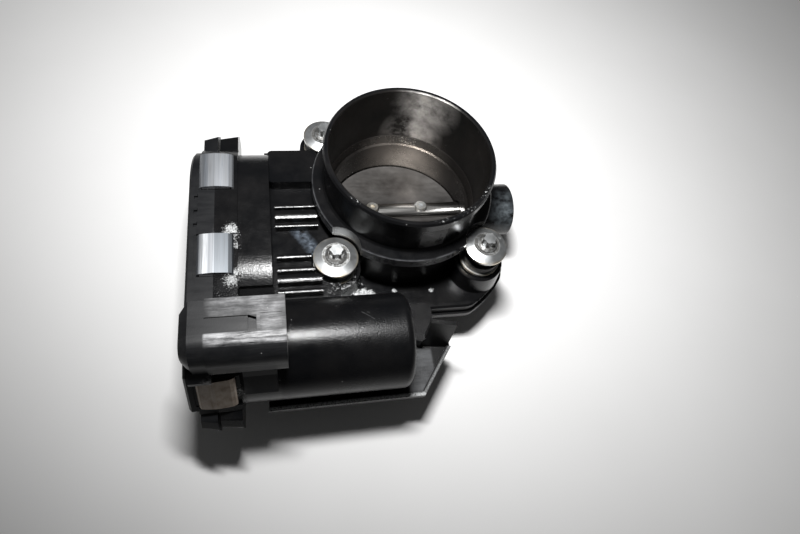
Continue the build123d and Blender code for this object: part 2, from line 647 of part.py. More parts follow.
# ---- sector gear, its magnet and the return spring ----------------------------------------------------
SECTOR_HUB_R = 9.0
with BuildPart() as sector_gear:
    teeth_before, teeth_after = 3, 13
    # Opening turns the -Y side up, so the toothed arc lies below the idler at rest.
    with BuildSketch(Plane.YZ.offset(SECTOR_X)):
        with BuildLine():
            rim = gear_points(SECTOR_TEETH, to_idler, teeth_before + teeth_after, -teeth_before)
            Polyline(*shifted(rim, 0, SHAFT_Z), (SECTOR_HUB_R, SHAFT_Z - 2), (4.0, SHAFT_Z + SECTOR_HUB_R),
                     close=True)
        make_face()
        with Locations(*SHAFT_AXIS):
            Circle(SECTOR_HUB_R)
    extrude(amount=SECTOR_W)
    ring(SECTOR_X - 1.0, 1.0, 6.6, 0, SHAFT_AXIS, Plane.YZ)
    ring(SECTOR_X + SECTOR_W, 3.0, 8.2, 0, SHAFT_AXIS, Plane.YZ)
    with BuildSketch(Plane.YZ.offset(-80)):
        with Locations(*SHAFT_AXIS):
            Circle(SHAFT_R)
        with Locations((0, SHAFT_Z + SHAFT_R), (0, SHAFT_Z - SHAFT_R)):
            Rectangle(2 * SHAFT_R, 2, mode=Mode.SUBTRACT)
    extrude(amount=20, mode=Mode.SUBTRACT)
    sector_gear.part.label = "sector_gear"
export_step(sector_gear.part, "parts/sector_gear.step")

SENSOR_MAGNET_R = 6.0
with BuildPart() as sensor_magnet:
    ring(SECTOR_X - 2.6, 1.6, SENSOR_MAGNET_R, 2.0, SHAFT_AXIS, Plane.YZ)
    sensor_magnet.part.label = "sensor_magnet"
export_step(sensor_magnet.part, "parts/sensor_magnet.step")

SPRING_R, SPRING_WIRE, SPRING_TURNS, SPRING_PITCH = 11.6, 0.6, 4.5, 1.75
SPRING_X = -67.6
with BuildPart() as return_spring:
    with BuildLine() as coil:
        Helix(SPRING_PITCH, SPRING_PITCH * SPRING_TURNS, SPRING_R, center=(SPRING_X, 0, SHAFT_Z),
              direction=(1, 0, 0))
    with BuildSketch(Plane(origin=coil.line @ 0, z_dir=coil.line % 0)):
        Circle(SPRING_WIRE)
    sweep(path=coil.line, is_frenet=True)
    return_spring.part.label = "return_spring"
export_step(return_spring.part, "parts/return_spring.step")

# ---- idler gear on its pin ----------------------------------------------------------------------------
IDLER_PIN_R = 3.0
with BuildPart() as idler_gear:
    large_rim = gear_points(LARGE_TEETH, to_motor)
    small_rim = gear_points(SMALL_TEETH, gear_gap_phase(SMALL_TEETH, to_idler + pi))
    with BuildSketch(Plane.YZ.offset(LARGE_X)):
        with BuildLine():
            Polyline(*shifted(large_rim, IDLER_Y, IDLER_Z), close=True)
        make_face()
    extrude(amount=LARGE_W)
    with BuildSketch(Plane.YZ.offset(LARGE_X + LARGE_W)):
        with BuildLine():
            Polyline(*shifted(small_rim, IDLER_Y, IDLER_Z), close=True)
        make_face()
    extrude(amount=SECTOR_X + SECTOR_W - LARGE_X - LARGE_W + 0.8)
    with BuildSketch(Plane.YZ.offset(LARGE_X - 1)):
        with Locations(*IDLER_AXIS):
            Circle(IDLER_PIN_R + 0.05)
    extrude(amount=20, mode=Mode.SUBTRACT)
    with BuildSketch(Plane.YZ.offset(LARGE_X - 0.5)):
        with Locations(*IDLER_AXIS):
            Circle(21.0)
            Circle(8.5, mode=Mode.SUBTRACT)
    extrude(amount=1.7, mode=Mode.SUBTRACT)
    idler_gear.part.label = "idler_gear"
export_step(idler_gear.part, "parts/idler_gear.step")

with BuildPart() as idler_pin:
    ring(DOME_X + 0.1, -57.2 - DOME_X - 0.1, IDLER_PIN_R, 0, IDLER_AXIS, Plane.YZ)
    idler_pin.part.label = "idler_pin"
export_step(idler_pin.part, "parts/idler_pin.step")

# ---- motor --------------------------------------------------------------------------------------------
MOTOR_SHAFT_R = 1.6
MOTOR_SCREW_AT = 12.2
CAN_FRONT, CAN_BACK = -60.5, -9.5
MOTOR_SHAFT_ENDS = -79.5, -10.4
MAGNETS_X, ARMATURE_X, COMMUTATOR_X = (-48.0, 32.0), (-46.0, 28.0), (-56.0, 8.0)  # start and length along X
with BuildPart() as motor_can:
    ring(CAN_FRONT, CAN_BACK - CAN_FRONT, MOTOR_CAN_R, MOTOR_CAN_R - 1.3, MOTOR_AXIS, Plane.YZ)
    ring(CAN_BACK - 1.3, 1.3, MOTOR_CAN_R - 1.0, 4.0, MOTOR_AXIS, Plane.YZ)
    motor_can.part.label = "motor_can"
export_step(motor_can.part, "parts/motor_can.step")

with BuildPart() as motor_magnets:
    with BuildSketch(Plane.YZ.offset(MAGNETS_X[0])):
        with Locations(*MOTOR_AXIS):
            Circle(MOTOR_CAN_R - 1.3)
            Circle(11.4, mode=Mode.SUBTRACT)
            Rectangle(9, 40, mode=Mode.SUBTRACT)
    extrude(amount=MAGNETS_X[1])
    motor_magnets.part.label = "motor_magnets"
export_step(motor_magnets.part, "parts/motor_magnets.step")

with BuildPart() as motor_front_plate:
    with BuildSketch(Plane.YZ.offset(CAN_FRONT)):
        with Locations(*MOTOR_AXIS):
            Circle(MOTOR_CAN_R)
        with Locations((MOTOR_Y, MOTOR_Z)):
            Circle(4.0, mode=Mode.SUBTRACT)
            with Locations((0, MOTOR_SCREW_AT), (0, -MOTOR_SCREW_AT)):
                Circle(1.8, mode=Mode.SUBTRACT)
    extrude(amount=-2.0)
    motor_front_plate.part.label = "motor_front_plate"
export_step(motor_front_plate.part, "parts/motor_front_plate.step")

with BuildPart() as motor_bearings:
    for bearing_x in (-62.5, -13.3):
        ring(bearing_x, 2.5, 4.0, MOTOR_SHAFT_R + 0.05, MOTOR_AXIS, Plane.YZ)
    motor_bearings.part.label = "motor_bearings"
export_step(motor_bearings.part, "parts/motor_bearings.step")

with BuildPart() as motor_shaft:
    shaft_start, shaft_end = MOTOR_SHAFT_ENDS
    ring(shaft_start, shaft_end - shaft_start, MOTOR_SHAFT_R, 0, MOTOR_AXIS, Plane.YZ)
    motor_shaft.part.label = "motor_shaft"
export_step(motor_shaft.part, "parts/motor_shaft.step")

SLOTS = 5
with BuildPart() as motor_armature:
    with BuildSketch(Plane.YZ.offset(ARMATURE_X[0])):
        with Locations(*MOTOR_AXIS):
            Circle(10.9)
            with PolarLocations(8.6, SLOTS):
                Rectangle(5.6, 1.4, mode=Mode.SUBTRACT)
            with PolarLocations(7.0, SLOTS):
                Circle(2.0, mode=Mode.SUBTRACT)
            Circle(MOTOR_SHAFT_R, mode=Mode.SUBTRACT)
    extrude(amount=ARMATURE_X[1])
    motor_armature.part.label = "motor_armature"
export_step(motor_armature.part, "parts/motor_armature.step")

with BuildPart() as motor_commutator:
    ring(*COMMUTATOR_X, 3.8, MOTOR_SHAFT_R, MOTOR_AXIS, Plane.YZ)
    with BuildSketch(Plane.YZ.offset(COMMUTATOR_X[0] - 1)):
        with Locations(*MOTOR_AXIS):
            with PolarLocations(3.9, SLOTS):
                Rectangle(1.0, 0.5)
    extrude(amount=10, mode=Mode.SUBTRACT)
    motor_commutator.part.label = "motor_commutator"
export_step(motor_commutator.part, "parts/motor_commutator.step")

with BuildPart() as motor_brushes:
    with BuildSketch(Plane.YZ.offset(-54)):
        with Locations((MOTOR_Y, MOTOR_Z + 6.6), (MOTOR_Y, MOTOR_Z - 6.6)):
            Rectangle(3, 5)
    extrude(amount=3.4)
    motor_brushes.part.label = "motor_brushes"
export_step(motor_brushes.part, "parts/motor_brushes.step")

with BuildPart() as brush_holder:
    ring(-58.4, 2.2, MOTOR_CAN_R - 1.35, 5.0, MOTOR_AXIS, Plane.YZ)
    with BuildSketch(Plane.YZ.offset(-59)):
        with Locations((MOTOR_Y, MOTOR_Z + MOTOR_SCREW_AT), (MOTOR_Y, MOTOR_Z - MOTOR_SCREW_AT)):
            Circle(1.8)
    extrude(amount=4, mode=Mode.SUBTRACT)
    with BuildSketch(Plane.YZ.offset(-56.2)):
        with Locations((MOTOR_Y, MOTOR_Z + 8.0), (MOTOR_Y, MOTOR_Z - 8.0)):
            Rectangle(6, 5)
            Rectangle(3, 6, mode=Mode.SUBTRACT)
    extrude(amount=6)
    brush_holder.part.label = "brush_holder"
export_step(brush_holder.part, "parts/brush_holder.step")

with BuildPart() as motor_pinion:
    pinion_rim = gear_points(PINION_TEETH, gear_gap_phase(PINION_TEETH, to_motor + pi))
    with BuildSketch(Plane.YZ.offset(LARGE_X - 0.6)):
        with BuildLine():
            Polyline(*shifted(pinion_rim, MOTOR_Y, MOTOR_Z), close=True)
        make_face()
        with Locations(*MOTOR_AXIS):
            Circle(MOTOR_SHAFT_R, mode=Mode.SUBTRACT)
    extrude(amount=LARGE_W + 1.2)
    motor_pinion.part.label = "motor_pinion"
export_step(motor_pinion.part, "parts/motor_pinion.step")

with BuildPart() as motor_screws:
    for dz in (MOTOR_SCREW_AT, -MOTOR_SCREW_AT):
        ring(-64.6, 2.1, 3.1, 0, [(MOTOR_Y, MOTOR_Z + dz)], Plane.YZ)
        ring(-62.5, 6.0, 1.8, 0, [(MOTOR_Y, MOTOR_Z + dz)], Plane.YZ)
    motor_screws.part.label = "motor_screws"
export_step(motor_screws.part, "parts/motor_screws.step")

# ---- sensor board, connector pins ---------------------------------------------------------------------
with BuildPart() as sensor_board:
    with BuildSketch(Plane.YZ.offset(DOME_X + 0.2)):
        with Locations((-1, 12)):
            RectangleRounded(30, 26, 2)
    extrude(amount=1.6)
    with BuildSketch(Plane.YZ.offset(DOME_X + 1.8)):
        with Locations((0, SHAFT_Z)):
            Rectangle(6, 5)
    extrude(amount=1.8)
    sensor_board.part.label = "sensor_board"
export_step(sensor_board.part, "parts/sensor_board.step")

PIN_PITCH, PIN_ROWS_APART, PIN_W, PIN_LEN = 4.0, 4.4, 0.8, 14.0
with BuildPart() as connector_pins:
    with BuildSketch(Plane.YZ.offset(SOCKET_BACK)):
        with Locations((shroud_y, shroud_z)):
            with GridLocations(PIN_PITCH, PIN_ROWS_APART, 3, 2):
                Rectangle(PIN_W, PIN_W)
    extrude(amount=PIN_LEN)
    connector_pins.part.label = "connector_pins"
export_step(connector_pins.part, "parts/connector_pins.step")

# ---- mounting screws and their isolators --------------------------------------------------------------
# Stack from the boss up: grommet waist in the hole, steel ring, rubber, conical washer, screw head.
SLEEVE_R, SLEEVE_BORE = 4.0, 2.8
RING_Z, RING_H, RING_R = 18.4, 1.2, 8.8
WASHER_Z = 26.0
SCREW_R, SHANK_R = 2.5, 2.3  # thread, and the narrower shank that keeps the screw captive
LOOSE_SCREW = (BOLT_AT, -BOLT_AT)


def lift(point):
    return LOOSE_LIFT if point == LOOSE_SCREW else 0.0


with BuildPart() as rubber_grommets:
    for point in SCREW_POINTS:
        ring(0, RING_Z, 6.4, SLEEVE_R, [point], Plane.XY)
        ring(RING_Z, RING_H, 6.0, SLEEVE_R, [point], Plane.XY)
        ring(RING_Z + RING_H, 3.4, 8.0, SLEEVE_R, [point], Plane.XY)
        ring(RING_Z + RING_H + 3.4, 2.4, 6.6, SLEEVE_R, [point], Plane.XY)
    rubber_grommets.part.label = "rubber_grommets"
export_step(rubber_grommets.part, "parts/rubber_grommets.step")

with BuildPart() as isolator_rings:
    for point in SCREW_POINTS:
        ring(RING_Z, RING_H, RING_R, 6.0, [point], Plane.XY)
        ring(BOSS_TOP, RING_Z - BOSS_TOP, 8.2, 6.4, [point], Plane.XY)
    isolator_rings.part.label = "isolator_rings"
export_step(isolator_rings.part, "parts/isolator_rings.step")

with BuildPart() as limiter_sleeves:
    for point in SCREW_POINTS:
        ring(0, WASHER_Z - 0.6, SLEEVE_R, SLEEVE_BORE, [point], Plane.XY)
    limiter_sleeves.part.label = "limiter_sleeves"
export_step(limiter_sleeves.part, "parts/limiter_sleeves.step")


def upright_at(point):
    """Vertical sketch plane through a screw's axis: its X is the radius, its Y is the height."""
    return Plane(origin=(point[0], point[1], 0), x_dir=(1, 0, 0), z_dir=(0, -1, 0))


with BuildPart() as conical_washers:
    for point in SCREW_POINTS:
        z = WASHER_Z + lift(point)
        with BuildSketch(upright_at(point)):
            with BuildLine():
                Polyline((2.7, z + 0.4), (5.4, z + 0.4), (9.0, z - 0.9), (9.0, z + 0.1), (5.6, z + 1.5),
                         (2.7, z + 1.5), close=True)
            make_face()
        revolve(axis=Axis((point[0], point[1], 0), (0, 0, 1)))
    conical_washers.part.label = "conical_washers"
export_step(conical_washers.part, "parts/conical_washers.step")

HEAD_R, HEAD_FLANGE_H, HEAD_H = 4.3, 1.3, 4.6
with BuildPart() as mounting_screws:
    for point in SCREW_POINTS:
        seat = WASHER_Z + 1.5 + lift(point)
        tip = FLOOR_Z + (0 if lift(point) == 0 else LOOSE_LIFT)
        with BuildSketch(upright_at(point)):
            with BuildLine():
                Polyline((0, tip), (1.7, tip), (SCREW_R, tip + 1.0), (SCREW_R, 0), (SHANK_R, 0.2),
                         (SHANK_R, seat), (HEAD_R, seat), (HEAD_R, seat + 0.6),
                         (3.1, seat + HEAD_FLANGE_H), (0, seat + HEAD_FLANGE_H), close=True)
            make_face()
        revolve(axis=Axis((point[0], point[1], 0), (0, 0, 1)))
        with BuildSketch(Plane.XY.offset(seat + HEAD_FLANGE_H - 0.1)):
            with Locations(point):
                Circle(2.25)
                with PolarLocations(2.2, 6):
                    Circle(0.65)
        extrude(amount=HEAD_H - HEAD_FLANGE_H + 0.1)
    mounting_screws.part.label = "mounting_screws"
export_step(mounting_screws.part, "parts/mounting_screws.step")

# ---- seal of the mounting face ------------------------------------------------------------------------
with BuildPart() as flange_seal:
    ring(-0.4, 2.5, 35.2, 32.8, [(0, 0)], Plane.XY)
    flange_seal.part.label = "flange_seal"
export_step(flange_seal.part, "parts/flange_seal.step")
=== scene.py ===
import json
import math

import bpy
from mathutils import Matrix, Vector


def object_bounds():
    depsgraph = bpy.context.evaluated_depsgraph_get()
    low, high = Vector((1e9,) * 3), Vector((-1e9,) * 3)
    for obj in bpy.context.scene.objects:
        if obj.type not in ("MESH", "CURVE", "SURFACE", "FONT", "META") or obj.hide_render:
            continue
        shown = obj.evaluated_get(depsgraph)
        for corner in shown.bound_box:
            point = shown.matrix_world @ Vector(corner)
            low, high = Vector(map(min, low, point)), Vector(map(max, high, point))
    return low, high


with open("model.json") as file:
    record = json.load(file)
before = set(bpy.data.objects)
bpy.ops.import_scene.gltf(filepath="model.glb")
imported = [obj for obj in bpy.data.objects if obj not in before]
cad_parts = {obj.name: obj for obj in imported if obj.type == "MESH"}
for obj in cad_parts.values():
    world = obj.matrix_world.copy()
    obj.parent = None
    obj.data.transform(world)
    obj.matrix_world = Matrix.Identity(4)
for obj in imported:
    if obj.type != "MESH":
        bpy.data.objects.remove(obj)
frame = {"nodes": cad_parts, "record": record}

MM = 0.001
cad_low, cad_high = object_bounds()

# ---- camera -------------------------------------------------------------------------------------------
TARGET = Vector((-4.49, -34.22, 20.0)) * MM
DISTANCE = 223.9 * MM
YAW, PITCH, ROLL = (math.radians(a) for a in (-24.3, 60.26, 18.35))
LENS = 24.12


def place_camera():
    """The camera looks down on the part from the motor's side, a little rolled."""
    back = Vector((math.sin(YAW) * math.cos(PITCH), -math.cos(YAW) * math.cos(PITCH), math.sin(PITCH)))
    level = Vector((0, 0, 1)).cross(back).normalized()
    rise = back.cross(level)
    right = math.cos(ROLL) * level + math.sin(ROLL) * rise
    up = back.cross(right)
    data = bpy.data.cameras.new("camera")
    data.lens = LENS
    data.sensor_width = 36.0
    data.clip_start = 0.01
    camera = bpy.data.objects.new("camera", data)
    camera.matrix_world = Matrix.LocRotScale(
        TARGET + back * DISTANCE, Matrix((right, up, back)).transposed().to_quaternion(), None)
    bpy.context.scene.collection.objects.link(camera)
    bpy.context.scene.camera = camera


place_camera()


# ---- material kit -------------------------------------------------------------------------------------
class Nodes:
    """A material under construction: short calls that add nodes and link them. Places are in millimetres."""

    def __init__(self, name):
        self.material = bpy.data.materials.new(name)
        self.material.use_nodes = True
        self.tree = self.material.node_tree
        self.shader = self.tree.nodes["Principled BSDF"]
        self.coords = self.tree.nodes.new("ShaderNodeTexCoord").outputs["Object"]
        split = self.node("ShaderNodeSeparateXYZ", {"Vector": self.coords})
        self.x, self.y, self.z = (split.outputs[axis] for axis in "XYZ")

    def node(self, kind, inputs=(), **settings):
        made = self.tree.nodes.new(kind)
        for key, value in settings.items():
            setattr(made, key, value)
        for key, value in dict(inputs).items():
            self.put(made.inputs[key], value)
        return made

    def put(self, socket, value):
        if isinstance(value, bpy.types.NodeSocket):
            self.tree.links.new(value, socket)
        elif isinstance(value, tuple) and len(value) == 3 and len(socket.default_value) == 4:
            socket.default_value = (*value, 1.0)
        else:
            socket.default_value = value

    def set(self, **values):
        for key, value in values.items():
            self.put(self.shader.inputs[key.replace("_", " ")], value)

    def noise(self, scale, detail=4.0, roughness=0.55, stretch=None):
        where = self.coords
        if stretch:
            where = self.node("ShaderNodeMapping", {"Vector": where, "Scale": stretch}).outputs["Vector"]
        return self.node("ShaderNodeTexNoise", {"Vector": where, "Scale": scale, "Detail": detail,
                                                "Roughness": roughness}).outputs["Fac"]

    def ramp(self, value, low, high, out_low=0.0, out_high=1.0):
        return self.node("ShaderNodeMapRange", {"Value": value, "From Min": low, "From Max": high,
                                                "To Min": out_low, "To Max": out_high}).outputs["Result"]

    def step(self, length, start, end, low=0.0, high=1.0):
        """A value that changes between two lengths, given in millimetres."""
        return self.ramp(length, start * MM, end * MM, low, high)

    def patches(self, low, high, *noise):
        """Cloudy patches: 0 where the noise is under one value, 1 where it is over another."""
        return self.ramp(self.noise(*noise), low, high)

    def math(self, operation, a, b=0.0):
        return self.node("ShaderNodeMath", {0: a, 1: b}, operation=operation).outputs[0]

    def vector(self, operation, a, b=(0.0, 0.0, 0.0)):
        made = self.node("ShaderNodeVectorMath", {0: a, 1: b}, operation=operation)
        return made.outputs["Value" if operation in ("LENGTH", "DOT_PRODUCT", "DISTANCE") else "Vector"]

    def all_of(self, *masks):
        product = masks[0]
        for mask in masks[1:]:
            product = self.math("MULTIPLY", product, mask)
        return product

    def any_of(self, *masks):
        most = masks[0]
        for mask in masks[1:]:
            most = self.math("MAXIMUM", most, mask)
        return most

    def rest_of(self, mask):
        return self.math("SUBTRACT", 1.0, mask)

    def mix(self, factor, a, b):
        made = self.node("ShaderNodeMix", data_type="RGBA")
        for socket, value in ((made.inputs[0], factor), (made.inputs[6], a), (made.inputs[7], b)):
            self.put(socket, value)
        return made.outputs[2]

    def bump(self, height, strength, distance, normal=None):
        inputs = {"Height": height, "Strength": strength, "Distance": distance}
        if normal:
            inputs["Normal"] = normal
        return self.node("ShaderNodeBump", inputs).outputs["Normal"]

    def near(self, centre, radius):
        """1 at a point, falling to 0 at a radius."""
        gap = self.vector("DISTANCE", self.coords, tuple(c * MM for c in centre))
        return self.step(gap, 0.0, radius, 1.0, 0.0)

    def near_any(self, spots):
        return self.any_of(*(self.near(centre, radius) for centre, radius in spots))

    def band(self, value, low, high, soft=0.15):
        """1 where a length lies between two limits."""
        rise = self.step(value, low - soft, low + soft)
        fall = self.step(value, high - soft, high + soft, 1.0, 0.0)
        return self.math("MULTIPLY", rise, fall)

    def bore_radius(self):
        """Distance from the bore's axis."""
        return self.vector("LENGTH", self.vector("MULTIPLY", self.coords, (1.0, 1.0, 0.0)))

    def along(self, start, end, width):
        """1 on the line between two points, falling to 0 at a width: a scratch."""
        a, b = (Vector(p) * MM for p in (start, end))
        from_start = self.vector("SUBTRACT", self.coords, tuple(a))
        share = self.vector("DOT_PRODUCT", from_start, tuple((b - a) / (b - a).length_squared))
        share = self.node("ShaderNodeClamp", {"Value": share}).outputs["Result"]
        spread = self.node("ShaderNodeCombineXYZ", {"X": share, "Y": share, "Z": share}).outputs["Vector"]
        nearest = self.vector("MULTIPLY", spread, tuple(b - a))
        return self.step(self.vector("DISTANCE", from_start, nearest), 0.0, width, 1.0, 0.0)


# ---- marks shared by materials ------------------------------------------------------------------------
DUST = (0.45, 0.45, 0.44)


def dusted(m, colour):
    """Small pale specks, thinly scattered over a colour."""
    cells = m.node("ShaderNodeTexVoronoi", {"Vector": m.coords, "Scale": 420.0, "Randomness": 1.0})
    speck = m.ramp(cells.outputs["Distance"], 0.10, 0.05)
    tint = m.node("ShaderNodeSeparateColor", {"Color": cells.outputs["Color"]})
    chosen = m.ramp(tint.outputs["Red"], 0.86, 0.90)
    return m.mix(m.all_of(speck, chosen, 0.5), colour, DUST)


# ---- the black casting --------------------------------------------------------------------------------
BLACK, SOOT = (0.0026, 0.0028, 0.0033), (0.0060, 0.0058, 0.0060)
THIN_SMOKE, THICK_SMOKE = (0.011, 0.0108, 0.0108), (0.025, 0.0225, 0.021)
# Bare bore metal, a painted sheen on it, and painted reflections in the neck's coat.
DARK_METAL, BORE_SHEEN_METAL, REFLECTION_METAL = (0.035, 0.032, 0.030), (0.34, 0.31, 0.28), (0.80, 0.77, 0.74)
# Greys for a painted reflection on the neck, a rubbed collar and a painted highlight on the collar.
REFLECTION_PANEL_GREY, RUBBED_GREY, COLLAR_HIGHLIGHT_GREY = (0.15, 0.15, 0.15), (0.095, 0.097, 0.102), (0.46, 0.48, 0.52)
SMEAR_BLUE, HAZE_BLUE, TRAY_GREY = (0.15, 0.18, 0.22), (0.10, 0.115, 0.125), (0.075, 0.077, 0.080)
# Salt, also the colour of the painted highlights, and crust.
SALT_AND_HIGHLIGHT_WHITE, CRUST = (0.50, 0.51, 0.51), (0.82, 0.83, 0.83)

NECK_SURFACE_R = 33.3  # between the inlet's inner and outer walls
COLLAR_OUT_R = 38.0
BORE_STEP_Z = 21.5
# Painted reflections: two spots of brighter metal in the neck's coat.
NECK_REFLECTION_SPOTS = (((13, 31, 46), 17), ((9, 32, 28), 16))
# A painted sheen: a pool of paler metal in the bare bore.
BORE_SHEEN_SPOT = (8, 30, 14), 26
SHAFT_BOSS_HAZE = (51, -7, 17), 12
DECK_SMEAR = (-46, -15, 22.2), (-39, -26, 22.2)
# Salt patches, and small pale spots on the flange top; the one at x 10.5 is a painted glint.
SALT_AND_GLINT_SPOTS = (((-29, -42, 11), 24), ((-38, -40, 13), 15), ((-41, -21, 25), 5), ((-40, -27, 25), 5),
              ((-17, -40.3, 8), 7), ((-6, -39.4, 8), 2.6), ((10.5, -40, 8), 2.6), ((-69, -84, 27), 7))
CRUST_SPOTS = (((-29, -36.5, 9), 9), ((-33, -37, 10), 6), ((-19, -39.4, 8), 3.4), ((-24, -39, 8), 5))
CLIP_SALT_SPOTS = (((-70, -24.5, 38), 6), ((-68, -30, 38), 4), ((-70, -45, 37), 5.5), ((-68, -42, 37), 4))
RIM_SPOTS = (((26.5, -20.9, 53), 5), ((18, -28, 53), 6), ((7.5, -31.7, 53), 5), ((-24, -22, 53), 3))
NECK_SCRATCH = (32.0, 9.6, 45.0), (32.3, -3.0, 42.5)
TUBE_SCRATCHES = (((-22.9, -60.1, 36.2), (-17.2, -66.0, 37.0)),
                  ((-25.0, -60.0, 36.2), (-20.6, -63.5, 36.9)))
# A painted highlight: lit lines along the tray's front and end edges.
TRAY_FRONT_HIGHLIGHT = (-60.0, -84.4, 5.2), (0.7, -84.4, 5.2)
TRAY_END_HIGHLIGHT = (0.7, -84.4, 5.2), (14.8, -65.2, 5.2)


def bore_smoke_and_sheen(m, colour):
    """Smoke on the neck's coat with painted reflections, and bare browned metal below it with a painted
    sheen.

    Gives the colour, the coat's least roughness, how metallic it is, and where the inside and the smoke are.
    """
    inside = m.step(m.bore_radius(), NECK_SURFACE_R, NECK_SURFACE_R - 0.4)
    bare = m.all_of(inside, m.step(m.z, BORE_STEP_Z + 4.2, BORE_STEP_Z + 3.6))
    coat = m.math("SUBTRACT", inside, bare)
    smoke = m.patches(0.35, 0.68, 55.0, 6.0, 0.6)
    # Painted reflections of the lit plate and shaft, in two spots of the coat.
    painted_reflections = m.all_of(m.near_any(NECK_REFLECTION_SPOTS), m.patches(0.36, 0.64, 85.0, 6.0, 0.6))
    colour = m.mix(coat, colour, m.mix(smoke, THIN_SMOKE, THICK_SMOKE))
    colour = m.mix(m.all_of(coat, painted_reflections), colour, REFLECTION_METAL)
    # Painted sheen: paler metal around one spot of the bare bore.
    painted_bore_sheen = m.all_of(m.near(*BORE_SHEEN_SPOT), m.ramp(smoke, 0.0, 1.0, 0.4, 1.0))
    colour = m.mix(bare, colour, m.mix(painted_bore_sheen, DARK_METAL, BORE_SHEEN_METAL))
    metal = m.any_of(m.all_of(bare, 0.85), m.all_of(coat, 0.80))
    return colour, m.all_of(coat, 0.34), metal, inside, smoke


def outer_wear_and_highlights(m, colour, inside):
    """A painted reflection on the neck, a rubbed collar with a painted highlight, a smear on the deck:
    colour, roughness.
    """
    radius = m.bore_radius()
    # A painted reflection: a grey patch on the neck's outer wall.
    painted_reflection_patch = m.all_of(m.rest_of(inside), m.band(m.x, 0.5, 11.0, 0.5), m.step(m.y, -30.0, -32.0),
                     m.band(m.z, 34.6, 47.0, 0.6), m.patches(0.30, 0.62, 130.0, 5.0))
    colour = m.mix(painted_reflection_patch, colour, REFLECTION_PANEL_GREY)
    collar = m.all_of(m.step(radius, COLLAR_OUT_R, COLLAR_OUT_R + 0.5), m.band(m.z, 27.4, 33.0, 0.3),
                      m.step(radius, 42.0, 41.0))
    rubbed = m.all_of(collar, m.patches(0.30, 0.62, 170.0, 6.0, 0.65))
    colour = m.mix(rubbed, colour, RUBBED_GREY)
    # A painted highlight on the collar's top outer edge.
    edge = m.all_of(m.band(radius, 40.6, 42.2, 0.2), m.band(m.z, 32.5, 34.0, 0.2), m.patches(0.35, 0.6, 90.0))
    colour = m.mix(m.all_of(edge, 0.8), colour, COLLAR_HIGHLIGHT_GREY)
    smear = m.all_of(m.along(*DECK_SMEAR, 3.6), m.patches(0.38, 0.62, 420.0, 5.0, 0.65))
    colour = m.mix(m.all_of(smear, 0.7), colour, SMEAR_BLUE)
    return colour, m.any_of(m.all_of(rubbed, 0.44), m.all_of(painted_reflection_patch, 0.6), m.all_of(smear, 0.5))


def salt_scratches_and_highlights(m, colour):
    """Salt, rim specks, scratches, painted highlights: the colour, the salt (with a painted glint) and all
    pale marks.
    """
    speckle = m.noise(650.0, 6.0, 0.7)

    def grown(spots, share, low, high, grain):
        return m.ramp(m.math("ADD", m.math("MULTIPLY", m.near_any(spots), share), grain), low, high)

    crust = grown(CRUST_SPOTS, 0.7, 0.72, 0.92, speckle)
    clip_salt = grown(CLIP_SALT_SPOTS, 0.5, 0.74, 0.92, m.noise(1400.0, 5.0, 0.7))
    # Salt, including the painted glint on the flange at x 10.5.
    salt = m.any_of(grown(SALT_AND_GLINT_SPOTS, 0.62, 0.88, 1.06, speckle), crust,
                    m.all_of(clip_salt, m.step(m.x, -66.4, -67.0)))
    rim = m.all_of(m.step(m.bore_radius(), 32.4, 32.6), m.step(m.z, 52.2, 52.6), m.near_any(RIM_SPOTS),
                   m.patches(0.58, 0.66, 1100.0, 3.0, 0.7))
    scratch = m.any_of(*(m.along(start, end, 0.14) for start, end in TUBE_SCRATCHES))
    worn_line = m.all_of(m.along(*NECK_SCRATCH, 0.5), m.ramp(speckle, 0.45, 0.6))
    # A painted highlight along the tray's front edge, fainter along its end.
    tray_edge_highlight = m.any_of(m.all_of(m.along(*TRAY_FRONT_HIGHLIGHT, 1.2), 1.3),
                         m.all_of(m.along(*TRAY_END_HIGHLIGHT, 0.8), 0.45))
    pale = m.any_of(salt, rim, m.all_of(scratch, 0.18), m.all_of(worn_line, 0.35), tray_edge_highlight)
    colour = m.mix(m.all_of(pale, m.patches(0.30, 0.55, 1500.0, 3.0, 0.7)), colour, SALT_AND_HIGHLIGHT_WHITE)
    thick = m.all_of(crust, m.step(m.x, -21.0, -24.0, 0.1, 1.0), m.patches(0.34, 0.56, 900.0, 4.0, 0.7))
    return m.mix(thick, colour, CRUST), salt, pale


